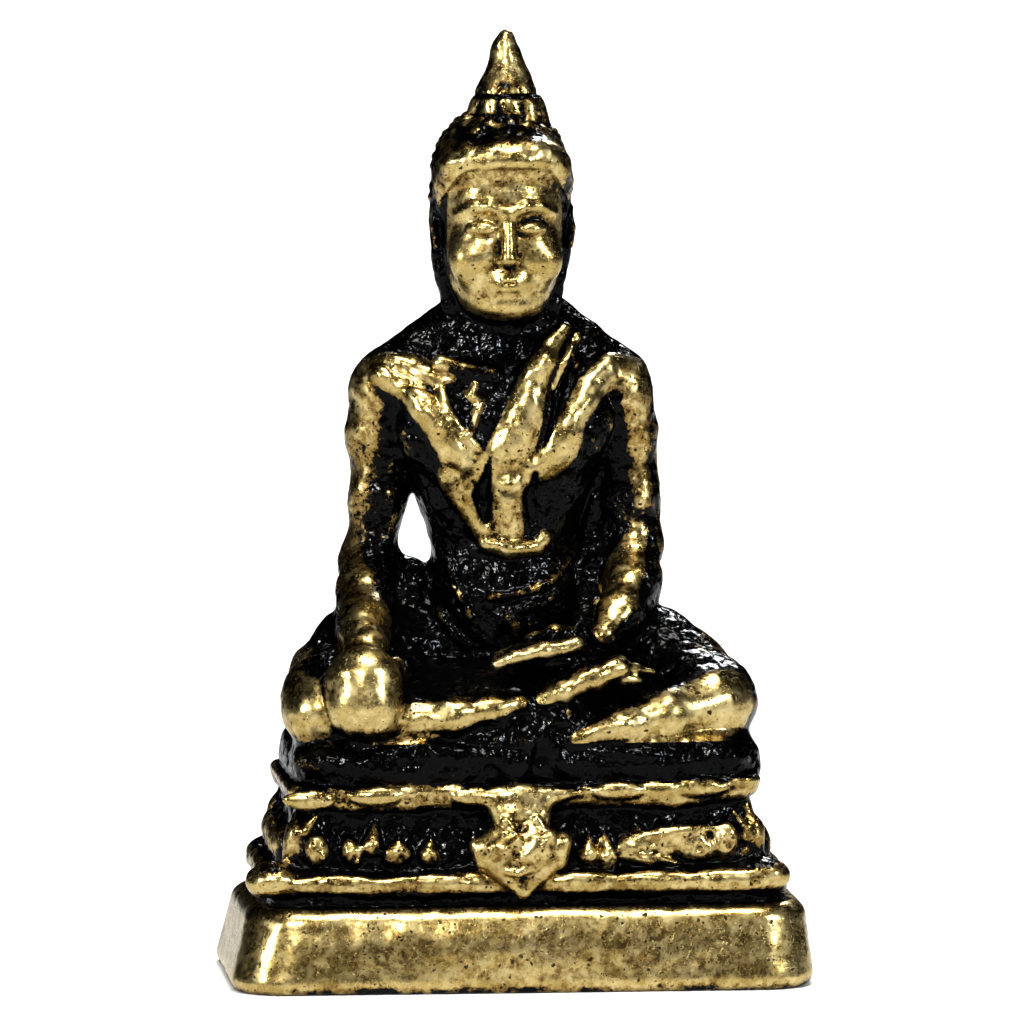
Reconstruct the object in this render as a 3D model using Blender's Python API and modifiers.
"""Seated Buddha image in the earth-touching pose, as a set of cast brass sections.

The image stands on a five-tier rectangular throne.  Every section is its own
closed solid and meets its neighbours with a small working clearance.  The
sections locate on one another with tenons and pegs that are cast as part of
the section above, the way a bronze image that is cast in sections goes
together: throne tiers on a common square tenon, body on a round tenon, head
on a neck tenon, finial and topknot on pegs, arms on shoulder pegs.

Frame: metres, +Z up, -Y is the front, origin on the underside of the plinth
at its centre.  The image's own right hand is on the -X side.
"""

import math

import bmesh
import bpy
import numpy as np
from mathutils import Matrix, Vector

MM = 0.001

# ---------------------------------------------------------------- dimensions
TOTAL_HEIGHT = 32.0          # mm, underside of the plinth to the tip of the flame
CLEARANCE = 0.06             # mm, between two neighbouring sections
PEG_CLEARANCE = 0.05         # mm, round a tenon or peg

PLINTH_TOP = 2.85
PLINTH_HALF = ((9.60, 5.65), (8.95, 5.05))        # (x, y) half sizes, bottom then top
NECK_HALF = ((8.35, 4.50), (8.30, 4.45))
LOWER_RIM = (3.38, 4.06, (8.66, 4.80), (8.60, 4.72))
WAIST = (4.12, 6.02, (8.12, 4.28), (7.52, 3.86))
UPPER_RIM = (6.08, 6.98, (7.66, 4.26), (7.80, 4.40))
SEAT = (7.04, 8.36, (7.52, 4.32), (7.22, 4.22))
SQUARE_TENON = (3.0, 1.2)                          # half sizes of the throne's tenon
SEAT_STUD_R = 1.10
BODY_TENON_R = 1.00
BODY_BASE = 8.42                                   # underside of everything that sits on the seat

BODY_Y = 2.2                                       # the torso's axis stands behind the throne's centre
NECK_TENON_R = 0.62
TOPKNOT_PEG_R = 0.50
FINIAL_PEG_R = 0.32
ARM_PEG_R = 0.34
EAR_PEG_R = 0.16

# Torso sections: z, centre y, half width, half depth.  The lowest is below the seat and trimmed off.
TORSO = [
    (7.40, 2.2, 3.30, 2.20), (9.2, 2.2, 3.25, 2.20), (11.2, 2.2, 2.85, 1.98),
    (13.0, 2.2, 2.70, 1.86), (14.6, 2.2, 2.66, 1.80), (16.2, 2.15, 3.05, 1.96),
    (17.8, 2.10, 3.65, 2.14), (19.4, 2.15, 4.25, 2.10), (20.6, 2.25, 4.30, 1.80),
    (21.3, 2.35, 2.90, 1.50), (21.75, 2.35, 1.70, 1.30), (22.1, 2.3, 1.30, 1.16),
]

# Head sections: z, centre y, half width, half depth
HEAD = [
    (22.10, 1.40, 0.62, 0.62), (22.50, 1.50, 1.18, 1.28), (23.20, 1.72, 1.62, 1.86),
    (24.20, 1.92, 1.98, 2.22), (25.40, 2.02, 2.16, 2.42), (26.60, 2.10, 2.24, 2.50),
    (27.70, 2.16, 2.08, 2.32), (28.50, 2.20, 1.62, 1.80), (28.96, 2.20, 0.92, 1.00),
]

BRASS = (0.58, 0.43, 0.17, 1.0)
PATINA = (0.018, 0.018, 0.022, 1.0)


# ---------------------------------------------------------------- scene set-up
for existing in list(bpy.data.objects):
    bpy.data.objects.remove(existing, do_unlink=True)

model = bpy.data.collections.new("buddha_statue")
bpy.context.scene.collection.children.link(model)
cutters = bpy.data.collections.new("cutters")
bpy.context.scene.collection.children.link(cutters)


def material(name, colour, rough):
    m = bpy.data.materials.new(name)
    m.use_nodes = True
    shader = m.node_tree.nodes["Principled BSDF"]
    shader.inputs["Base Color"].default_value = colour
    shader.inputs["Roughness"].default_value = rough
    shader.inputs["Metallic"].default_value = 1.0
    return m


rubbed = material("rubbed_brass", BRASS, 0.32)
black = material("blackened_brass", PATINA, 0.45)


# ---------------------------------------------------------------- helpers
def add(bm, name):
    """A bmesh, already in metres, as an object in the model collection."""
    bmesh.ops.recalc_face_normals(bm, faces=bm.faces)
    mesh = bpy.data.meshes.new(name)
    bm.to_mesh(mesh)
    bm.free()
    obj = bpy.data.objects.new(name, mesh)
    model.objects.link(obj)
    return obj


def bake(obj):
    """Replaces the object's mesh by what its modifiers make of it."""
    bpy.context.view_layer.update()
    graph = bpy.context.evaluated_depsgraph_get()
    mesh = bpy.data.meshes.new_from_object(obj.evaluated_get(graph))
    obj.modifiers.clear()
    obj.data = mesh
    return obj


def is_closed(obj):
    bm = bmesh.new()
    bm.from_mesh(obj.data)
    closed = len(bm.faces) > 3 and all(len(e.link_faces) == 2 for e in bm.edges)
    bm.free()
    return closed


def boolean(target, other, how, solver="EXACT"):
    """Applies one Boolean.  Where the Exact solver leaves an edge open, the Manifold one takes over."""
    before = target.data.copy()
    mod = target.modifiers.new(how.lower(), "BOOLEAN")
    mod.operation = how
    mod.solver = solver
    mod.object = other
    bake(target)
    if solver == "EXACT" and not is_closed(target):
        target.data = before
        return boolean(target, other, how, "MANIFOLD")
    return target


def union(target, *others):
    for o in others:
        boolean(target, o, "UNION")
        bpy.data.objects.remove(o)
    return target


def cut(target, *others):
    for o in others:
        boolean(target, o, "DIFFERENCE")
        bpy.data.objects.remove(o)
    return target


def fit(target, *neighbours):
    """Clears the target of its neighbours' grown copies.  A grown copy can fold over itself
    along a crease, which the Manifold solver takes and the Exact one doesn't."""
    for o in neighbours:
        boolean(target, o, "DIFFERENCE", "MANIFOLD")
    return target


def trim_slivers(target):
    """Keeps a section's main body, where its neighbours' clearances cut a corner loose."""
    bm = bmesh.new()
    bm.from_mesh(target.data)
    left, bodies = set(bm.verts), []
    while left:
        edge = [left.pop()]
        body = set(edge)
        while edge:
            for link in edge.pop().link_edges:
                for v in link.verts:
                    if v in left:
                        left.remove(v)
                        body.add(v)
                        edge.append(v)
        bodies.append(body)

    def room(body):
        return sum(f.calc_area() * f.normal.dot(f.calc_center_median()) for f in bm.faces if f.verts[0] in body)

    main = max(bodies, key=room)
    bmesh.ops.delete(bm, geom=[v for v in bm.verts if v not in main], context="VERTS")
    bm.to_mesh(target.data)
    bm.free()
    return target


def grown(source, by):
    """A copy of a finished section, grown by a clearance in mm, to cut its neighbours with."""
    copy = source.copy()
    copy.data = source.data.copy()
    copy.name = source.name + "_grown"
    cutters.objects.link(copy)
    push = copy.modifiers.new("grow", "DISPLACE")
    push.strength = by * MM
    push.mid_level = 0.0
    bake(copy)
    return copy


def block(name, z0, z1, half0, half1, corner=1.2, edge=0.25, corner_steps=5, edge_steps=2):
    """A tapered rectangular block with rounded upright corners and softened rims."""
    bm = bmesh.new()
    bmesh.ops.create_cube(bm, size=2.0)
    for v in bm.verts:
        hx, hy = half1 if v.co.z > 0 else half0
        v.co = Vector((v.co.x * hx, v.co.y * hy, z1 if v.co.z > 0 else z0)) * MM
    upright = [e for e in bm.edges if abs(e.verts[0].co.z - e.verts[1].co.z) > 1e-6]
    if corner:
        bmesh.ops.bevel(bm, geom=upright, offset=corner * MM, segments=corner_steps,
                        affect="EDGES", profile=0.5, offset_type="OFFSET")
    if edge:
        for face_z in (z0, z1):
            rim = [e for e in bm.edges
                   if all(abs(v.co.z - face_z * MM) < 1e-7 for v in e.verts) and len(e.link_faces) == 2]
            bmesh.ops.bevel(bm, geom=rim, offset=edge * MM, segments=edge_steps,
                            affect="EDGES", profile=0.5, offset_type="OFFSET")
    return add(bm, name)


def cylinder(name, centre, r, z0, z1, sides=20):
    bm = bmesh.new()
    bmesh.ops.create_cone(bm, cap_ends=True, segments=sides, radius1=r * MM, radius2=r * MM,
                          depth=(z1 - z0) * MM)
    bmesh.ops.translate(bm, verts=bm.verts,
                        vec=Vector((centre[0], centre[1], (z0 + z1) / 2)) * MM)
    return add(bm, name)


def rod(name, start, end, r, sides=14):
    """A round peg between two points."""
    a, b = Vector(start) * MM, Vector(end) * MM
    bm = bmesh.new()
    bmesh.ops.create_cone(bm, cap_ends=True, segments=sides, radius1=r * MM, radius2=r * MM,
                          depth=(b - a).length)
    turn = (b - a).to_track_quat("Z", "Y").to_matrix().to_4x4()
    bmesh.ops.transform(bm, verts=bm.verts, matrix=Matrix.Translation((a + b) / 2) @ turn)
    return add(bm, name)


def ball(name, centre, radii, turn=(0, 0, 0), segments=16, rings=10):
    bm = bmesh.new()
    bmesh.ops.create_uvsphere(bm, u_segments=segments, v_segments=rings, radius=1.0)
    shape = Matrix.Diagonal((*[r * MM for r in radii], 1.0))
    spin = Matrix.Rotation(math.radians(turn[2]), 4, "Z") @ Matrix.Rotation(
        math.radians(turn[1]), 4, "Y") @ Matrix.Rotation(math.radians(turn[0]), 4, "X")
    bmesh.ops.transform(bm, verts=bm.verts,
                        matrix=Matrix.Translation(Vector(centre) * MM) @ spin @ shape)
    return add(bm, name)


def smooth_path(points, steps):
    """Points (x, y, z, r) on a Catmull-Rom curve through the given ones."""
    p = [np.array(q, float) for q in points]
    p = [2 * p[0] - p[1]] + p + [2 * p[-1] - p[-2]]
    made = []
    for i in range(1, len(p) - 2):
        for k in range(steps):
            t = k / steps
            a, b, c, d = p[i - 1:i + 3]
            made.append(0.5 * ((2 * b) + (c - a) * t + (2 * a - 5 * b + 4 * c - d) * t * t
                               + (3 * b - a - 3 * c + d) * t ** 3))
    made.append(p[-2])
    return made


def limb(name, points, steps=3, resolution=3):
    """A round limb: a curve with a bevel, a radius at each point and domed ends."""
    path = smooth_path(points, steps)
    first, last = path[0], path[-1]
    back = first[:3] - path[1][:3]
    back /= np.linalg.norm(back)
    on = last[:3] - path[-2][:3]
    on /= np.linalg.norm(on)
    dome = [(0.98, 0.18), (0.82, 0.55), (0.45, 0.88)]
    head = [np.append(first[:3] + back * first[3] * out, first[3] * keep) for keep, out in reversed(dome)]
    tail = [np.append(last[:3] + on * last[3] * out, last[3] * keep) for keep, out in dome]
    path = head + path + tail
    curve = bpy.data.curves.new(name, "CURVE")
    curve.dimensions = "3D"
    curve.bevel_depth = 1.0 * MM
    curve.bevel_resolution = resolution
    curve.use_fill_caps = True
    curve.twist_mode = "MINIMUM"
    spline = curve.splines.new("POLY")
    spline.points.add(len(path) - 1)
    for s, q in zip(spline.points, path):
        s.co = (q[0] * MM, q[1] * MM, q[2] * MM, 1.0)
        s.radius = q[3]
    obj = bpy.data.objects.new(name, curve)
    model.objects.link(obj)
    bpy.context.view_layer.update()
    graph = bpy.context.evaluated_depsgraph_get()
    mesh = bpy.data.meshes.new_from_object(obj.evaluated_get(graph))
    bpy.data.objects.remove(obj)
    bm = bmesh.new()
    bm.from_mesh(mesh)
    bmesh.ops.remove_doubles(bm, verts=bm.verts, dist=1e-6)
    return add(bm, name)


def form(name, sections, sides=12, levels=1):
    """A soft upright form: a coarse cage of elliptical rings under a Subdivision Surface."""
    bm = bmesh.new()
    bmesh.ops.create_cone(bm, cap_ends=True, segments=sides, radius1=1, radius2=1, depth=1)
    upright = [e for e in bm.edges if abs(e.verts[0].co.z - e.verts[1].co.z) > 0.5]
    bmesh.ops.subdivide_edges(bm, edges=upright, cuts=len(sections) - 2)
    heights = sorted({round(v.co.z, 5) for v in bm.verts})
    for v in bm.verts:
        z, cy, rx, ry = sections[heights.index(round(v.co.z, 5))]
        v.co = Vector((v.co.x * rx, v.co.y * ry + cy, z)) * MM
    obj = add(bm, name)
    soft = obj.modifiers.new("soften", "SUBSURF")
    soft.levels = soft.render_levels = levels
    return bake(obj)


def turned(name, profile, centre, sides=24):
    """A turned section: the profile runs down its outer side and is closed on the axis."""
    mesh = bpy.data.meshes.new(name)
    mesh.from_pydata([(r * MM, 0, z * MM) for r, z in profile], [(i, i + 1) for i in range(len(profile) - 1)], [])
    obj = bpy.data.objects.new(name, mesh)
    model.objects.link(obj)
    screw = obj.modifiers.new("turn", "SCREW")
    screw.steps = screw.render_steps = sides
    screw.use_merge_vertices = True
    screw.merge_threshold = 0.000001
    screw.use_normal_calculate = True
    bake(obj)
    obj.data.transform(Matrix.Translation(Vector((centre[0], centre[1], 0)) * MM))
    bm = bmesh.new()
    bm.from_mesh(obj.data)
    bmesh.ops.recalc_face_normals(bm, faces=bm.faces)
    bm.to_mesh(obj.data)
    bm.free()
    return obj


def prism(name, outline, y0, y1):
    """A flat outline in x and z, carried from y0 to y1."""
    curve = bpy.data.curves.new(name, "CURVE")
    curve.dimensions = "2D"
    curve.fill_mode = "BOTH"
    curve.extrude = (y1 - y0) / 2 * MM
    spline = curve.splines.new("POLY")
    spline.points.add(len(outline) - 1)
    for s, (x, z) in zip(spline.points, outline):
        s.co = (x * MM, z * MM, 0, 1)
    spline.use_cyclic_u = True
    obj = bpy.data.objects.new(name, curve)
    model.objects.link(obj)
    obj.matrix_world = Matrix.Translation((0, (y0 + y1) / 2 * MM, 0)) @ Matrix.Rotation(math.pi / 2, 4, "X")
    bpy.context.view_layer.update()
    graph = bpy.context.evaluated_depsgraph_get()
    mesh = bpy.data.meshes.new_from_object(obj.evaluated_get(graph))
    mesh.transform(obj.matrix_world)
    bpy.data.objects.remove(obj)
    bm = bmesh.new()
    bm.from_mesh(mesh)
    bmesh.ops.remove_doubles(bm, verts=bm.verts, dist=1e-6)
    return add(bm, name)


def below(z, name="below"):
    """Everything under a height, for trimming the figure flat where it sits."""
    return block(name, z - 6, z, (12, 9), (12, 9), corner=0, edge=0)


# ---------------------------------------------------------------- throne
plinth = block("plinth", 0, PLINTH_TOP, *PLINTH_HALF, corner=1.35, edge=0.34, edge_steps=3)
cut(plinth, block("socket", 1.5, PLINTH_TOP + 1,
                  [h + PEG_CLEARANCE for h in SQUARE_TENON], [h + PEG_CLEARANCE for h in SQUARE_TENON],
                  corner=0, edge=0))

lower_moulding = block("lower_moulding", PLINTH_TOP + CLEARANCE, 3.6, *NECK_HALF, corner=1.0, edge=0)
z0, z1, h0, h1 = LOWER_RIM
union(lower_moulding, block("rim", z0, z1, h0, h1, corner=1.15, edge=0.26))
cut(lower_moulding, block("through", 0, 9,
                          [h + PEG_CLEARANCE for h in SQUARE_TENON], [h + PEG_CLEARANCE for h in SQUARE_TENON],
                          corner=0, edge=0))

z0, z1, h0, h1 = WAIST
waist = block("pedestal_waist", z0, z1, h0, h1, corner=0.9, edge=0)
# A ring of upright lotus petals stands on the waist, pointing up to the upper rim.
petals = []
for side in (-1, 1):
    for x in (-6.55, -5.05, -3.55, -2.1, 2.1, 3.55, 5.05, 6.55) if side < 0 else (-6.4, -4.6, -2.75, -0.9, 0.9, 2.75, 4.6, 6.4):
        petals.append(ball("petal", (x, side * 4.08, 4.95), (0.72 if side < 0 else 0.86, 0.42, 0.80),
                           segments=8, rings=4))
    for y in (-2.2, -0.55, 1.1, 2.7):
        petals.append(ball("petal", (side * 7.82, y, 4.95), (0.42, 0.78, 0.80), segments=8, rings=4))
union(waist, *petals)
union(waist, block("tenon", 1.6, z0 + 0.5, SQUARE_TENON, SQUARE_TENON, corner=0, edge=0))
cut(waist, cylinder("seat_socket", (0, 0), SEAT_STUD_R + PEG_CLEARANCE, 5.0, 7.5))
cut(waist, rod("ornament_socket", (0.15, -6, 4.9), (0.15, -3.0, 4.9), 0.5 + PEG_CLEARANCE))

z0, z1, h0, h1 = UPPER_RIM
upper_moulding = block("upper_moulding", z0, z1, h0, h1, corner=1.0, edge=0.28)
cut(upper_moulding, cylinder("stud_hole", (0, 0), SEAT_STUD_R + PEG_CLEARANCE, 5.0, 8.5))

z0, z1, h0, h1 = SEAT
seat = block("seat_cushion", z0, z1, h0, h1, corner=1.5, edge=0.36)
union(seat, cylinder("stud", (0, 0), SEAT_STUD_R, 5.1, z0 + 0.5))
cut(seat, cylinder("body_socket", (0, BODY_Y), BODY_TENON_R + PEG_CLEARANCE, 7.35, 9.5))

# The hanging cloth ornament on the front of the throne.
ornament = prism("front_ornament", [
    (-0.95, 6.72), (1.25, 6.72), (1.30, 6.2), (1.05, 5.7), (1.55, 5.2), (1.62, 4.6), (1.25, 3.95),
    (0.65, 3.45), (0.15, 3.2), (-0.35, 3.45), (-0.95, 3.95), (-1.32, 4.6), (-1.25, 5.2), (-0.75, 5.7), (-0.98, 6.2),
], -5.32, -3.6)
union(ornament, ball("boss", (0.15, -5.15, 4.65), (1.15, 0.62, 1.0), segments=14, rings=8))
for z0, z1, h0, h1 in ((PLINTH_TOP, 3.6, *NECK_HALF), LOWER_RIM, WAIST, UPPER_RIM):
    # Each tier again without its tenon hole, larger all round by the clearance.
    cut(ornament, block("tier_space", z0 - CLEARANCE, z1 + CLEARANCE, [h + CLEARANCE for h in h0],
                        [h + CLEARANCE for h in h1], corner=0.9, edge=0.2))
union(ornament, rod("peg", (0.15, -4.9, 4.9), (0.15, -3.15, 4.9), 0.5))

# ---------------------------------------------------------------- figure
torso = form("torso", TORSO, sides=12)
union(torso, ball("right_pectoral", (-1.75, 0.85, 18.35), (1.95, 0.75, 1.35), (0, 18, 0), 12, 8),
      ball("left_pectoral", (1.75, 0.85, 18.35), (1.95, 0.75, 1.35), (0, -18, 0), 12, 8),
      ball("belly", (0.0, 1.3, 12.9), (2.15, 1.35, 2.0), segments=12, rings=8))

right_hand = ball("right_hand", (-5.15, -3.75, 10.35), (1.22, 1.15, 1.25), (20, 0, 0))
union(right_hand, ball("fingers", (-5.12, -4.62, 9.55), (1.2, 0.72, 1.12), (12, 0, 0)))
right_arm = limb("right_arm", [(-3.95, 2.25, 19.75, 1.12), (-4.30, 2.3, 18.2, 1.00), (-4.48, 2.3, 16.0, 0.86),
                               (-4.72, 2.2, 14.0, 0.80)])
union(right_arm, limb("forearm", [(-4.75, 2.15, 13.75, 0.80), (-4.9, 0.7, 12.9, 0.80), (-5.05, -1.2, 11.95, 0.72),
                                  (-5.12, -2.75, 11.2, 0.66)]))

left_hand = ball("left_hand", (1.55, -2.15, 11.05), (1.75, 1.0, 0.46), (8, 5, 8))
union(left_hand, ball("fingers", (0.2, -2.75, 10.9), (1.25, 0.62, 0.38), (8, -6, 10), segments=12, rings=8),
      limb("thumb", [(1.9, -1.5, 11.35, 0.26), (1.1, -1.75, 11.55, 0.24), (0.3, -2.2, 11.4, 0.2)], steps=2, resolution=2))
left_arm = limb("left_arm", [(3.90, 2.25, 19.8, 1.12), (4.26, 2.3, 18.2, 1.00), (4.52, 2.3, 16.2, 0.90),
                             (4.72, 2.2, 14.6, 0.84)])
union(left_arm, limb("forearm", [(4.75, 2.15, 14.35, 0.84), (4.5, 0.9, 13.35, 0.84), (3.85, -0.55, 12.25, 0.72),
                                 (3.05, -1.65, 11.5, 0.6)]))

right_leg = limb("right_leg", [(-1.9, 2.9, 10.4, 2.0), (-3.9, 1.7, 10.35, 2.0), (-5.9, -0.2, 9.95, 1.66)])
union(right_leg, ball("knee", (-6.4, -1.5, 9.55), (1.55, 1.65, 1.55)),
      limb("shin", [(-5.9, -2.6, 9.4, 1.2), (-4.2, -3.4, 9.35, 1.0), (-2.0, -3.95, 9.3, 0.82),
                    (0.0, -3.9, 9.45, 0.7), (1.6, -3.6, 9.75, 0.62)]),
      ball("foot", (3.0, -3.15, 10.15), (2.05, 0.85, 0.52), (-14, -12, 6), segments=14, rings=8))
left_leg = limb("left_leg", [(1.9, 2.9, 10.3, 2.0), (3.9, 1.7, 10.25, 2.0), (6.0, -0.2, 9.9, 1.66)])
union(left_leg, ball("knee", (6.5, -1.5, 9.5), (1.55, 1.65, 1.5)),
      limb("shin", [(6.0, -2.6, 9.3, 1.2), (4.4, -3.4, 9.0, 1.0), (2.6, -4.0, 8.75, 0.78),
                    (0.9, -4.2, 8.6, 0.58)]))

lap = ball("lap_robe", (0, -0.2, 9.0), (6.1, 3.9, 1.75), segments=24, rings=12)
union(lap, ball("apron", (0.9, -3.3, 8.7), (2.6, 1.25, 0.9), segments=16, rings=8))

# The shoulder sash: a band of cloth that hugs the torso, down the chest to the
# navel and down the back, joined over the left shoulder.
shell = grown(torso, 0.36)
shell.name = "robe_sash"
cutters.objects.unlink(shell)
model.objects.link(shell)
front = prism("front_outline", [
    (3.35, 22.2), (1.55, 22.2), (0.75, 19.6), (-0.55, 17.9), (-0.45, 14.3), (1.05, 14.3), (1.25, 16.6), (1.95, 19.0)],
    -4, 2.3)
rear = prism("rear_outline", [
    (3.35, 22.2), (1.55, 22.2), (0.9, 19.6), (0.3, 17.5), (0.2, 11.8), (2.2, 11.8), (2.3, 17.0), (2.6, 19.6)],
    2.28, 8)
union(front, rear)
boolean(shell, front, "INTERSECT", "MANIFOLD")
bpy.data.objects.remove(front)
sash = shell

# Trim the figure where it sits, then fit the sections to one another.
for body in (torso, right_hand, left_hand, right_leg, left_leg, lap):
    cut(body, below(BODY_BASE))

g = CLEARANCE
torso_g = grown(torso, g)
for other in (sash, right_arm, left_arm, right_leg, left_leg, lap):
    fit(other, torso_g)
for hand, others in ((right_hand, (right_arm, right_leg, lap)), (left_hand, (left_arm, right_leg, left_leg, lap))):
    hand_g = grown(hand, g)
    for other in others:
        fit(other, hand_g)
sash_g = grown(sash, g)
for other in (right_leg, left_leg, lap):
    fit(other, sash_g)
for arm, others in ((right_arm, (sash, right_leg, lap)), (left_arm, (sash, left_leg, right_leg, lap))):
    arm_g = grown(arm, g)
    for other in others:
        fit(other, arm_g)
right_leg_g = grown(right_leg, g)
for other in (left_leg, lap):
    fit(other, right_leg_g)
left_leg_g = grown(left_leg, g)
fit(lap, left_leg_g)
for body in (sash, right_arm, left_arm, right_leg, left_leg, lap):
    trim_slivers(body)

# Body tenon, shoulder pegs.
union(torso, cylinder("body_tenon", (0, BODY_Y), BODY_TENON_R, 7.45, BODY_BASE + 0.6))
for side, arm in ((-1, right_arm), (1, left_arm)):
    start, end = (side * 4.35, 2.2, 19.7), (side * 2.4, 2.2, 19.7)
    cut(torso, rod("shoulder_socket", (side * 5.4, 2.2, 19.7), (side * 2.3, 2.2, 19.7), ARM_PEG_R + PEG_CLEARANCE))
    union(arm, rod("shoulder_peg", start, end, ARM_PEG_R))

# ---------------------------------------------------------------- head
head = form("head", HEAD, sides=12)
flat = block("flat_crown", 28.42, 31, (4, 4), (4, 4), corner=0, edge=0)
flat.data.transform(Matrix.Translation((0, BODY_Y * MM, 0)))
cut(head, flat)
cut(torso, cylinder("neck_socket", (0, 2.1), NECK_TENON_R + PEG_CLEARANCE, 20.6, 24.0))
# Calm, lowered face on plain proportions: eyes at half the head's height, nose
# to half way down from there to the chin, mouth a third below the nose.
EYE_Z, NOSE_Z, MOUTH_Z = 25.25, 23.95, 23.35
union(head,
      ball("nose", (0, -0.20, 24.55), (0.30, 0.38, 0.86), (-10, 0, 0), segments=10, rings=8),
      ball("nose_tip", (0, -0.22, NOSE_Z + 0.16), (0.42, 0.36, 0.26), segments=10, rings=8),
      ball("right_lid", (-0.86, 0.10, EYE_Z), (0.52, 0.36, 0.24), (0, 0, 14), segments=10, rings=8),
      ball("left_lid", (0.86, 0.10, EYE_Z), (0.52, 0.36, 0.24), (0, 0, -14), segments=10, rings=8),
      ball("lips", (0, 0.02, MOUTH_Z), (0.60, 0.34, 0.18), segments=12, rings=8),
      ball("chin", (0, 0.62, 22.62), (0.62, 0.60, 0.48), segments=10, rings=8))
ears = []
for side, name in ((-1, "right_ear"), (1, "left_ear")):
    ear = ball(name, (side * 2.16, 2.2, 25.1), (0.26, 0.58, 0.92), (0, side * -6, 0), segments=12, rings=10)
    union(ear, limb("lobe", [(side * 2.14, 2.1, 24.6, 0.26), (side * 2.10, 1.95, 23.6, 0.24), (side * 2.02, 1.9, 22.75, 0.28)],
                    steps=3, resolution=2))
    ears.append(ear)

hair = form("hair_cap", [(z + (0.25 if z > 28 else 0), cy, rx + 0.34, ry + 0.34) for z, cy, rx, ry in HEAD], sides=12)
# The hairline: level over the brow, dropping behind the ears to the nape.
away = block("face_side", 20, 27.25, (6, 6), (6, 6), corner=0, edge=0)
away.data.transform(Matrix.Translation((0, -4.0 * MM, 0)))
nape = block("under_nape", 18, 23.6, (6, 6), (6, 6), corner=0, edge=0)
crown = block("flat_crown", 28.80, 31, (4, 4), (4, 4), corner=0, edge=0)
crown.data.transform(Matrix.Translation((0, BODY_Y * MM, 0)))
cut(hair, away, nape, crown)
head_g = grown(head, g)
fit(hair, head_g)
for ear in ears:
    fit(ear, head_g)
    fit(hair, grown(ear, g))
for body in (hair, *ears):
    trim_slivers(body)
for side, ear in ((-1, ears[0]), (1, ears[1])):
    union(ear, rod("ear_peg", (side * 2.2, 2.2, 25.0), (side * 1.3, 2.2, 25.0), EAR_PEG_R, sides=10))
    cut(head, rod("ear_socket", (side * 3.2, 2.2, 25.0), (side * 1.2, 2.2, 25.0), EAR_PEG_R + PEG_CLEARANCE, sides=10))
union(head, cylinder("neck", (0, 2.25), 1.05, 22.22, 23.2), cylinder("neck_tenon", (0, 2.1), NECK_TENON_R, 20.75, 22.8))
cut(head, cylinder("topknot_socket", (0, 2.15), TOPKNOT_PEG_R + PEG_CLEARANCE, 27.6, 31))
cut(hair, cylinder("topknot_hole", (0, 2.15), TOPKNOT_PEG_R + PEG_CLEARANCE, 27.6, 31))

# ---------------------------------------------------------------- topknot and flame
collar = turned("topknot_collar", [(0, 29.56), (0.96, 29.56), (1.10, 29.44), (1.06, 29.30), (1.16, 29.1), (1.24, 28.92),
                                   (1.24, 28.86), (0, 28.86)], (0, 2.15), 20)
union(collar, cylinder("topknot_peg", (0, 2.15), TOPKNOT_PEG_R, 27.7, 29.3, sides=16))
flame_hole = cylinder("flame_socket", (0, 2.15), FINIAL_PEG_R + PEG_CLEARANCE, 28.3, 31, sides=12)
fit(collar, flame_hole)
bpy.data.objects.remove(flame_hole)

flame = turned("flame_finial", [(0, 32.0), (0.16, 31.96), (0.30, 31.84), (0.40, 31.6), (0.50, 31.3), (0.64, 30.8), (0.78, 30.3),
                                (0.90, 29.9), (0.95, 29.72), (0.90, 29.62), (0, 29.62)], (0, 2.15), 20)
union(flame, cylinder("flame_peg", (0, 2.15), FINIAL_PEG_R, 28.45, 30.0, sides=12))

# ---------------------------------------------------------------- finish
for helper in list(cutters.objects):
    helper.hide_render = True
    helper.display_type = "WIRE"
DARK = {"torso", "lap_robe", "seat_cushion", "pedestal_waist", "hair_cap", "right_ear", "left_ear"}
for obj in model.objects:
    obj.data.materials.clear()
    obj.data.materials.append(black if obj.name in DARK else rubbed)
    obj.data.shade_smooth()
    obj.data.set_sharp_from_angle(angle=math.radians(42))
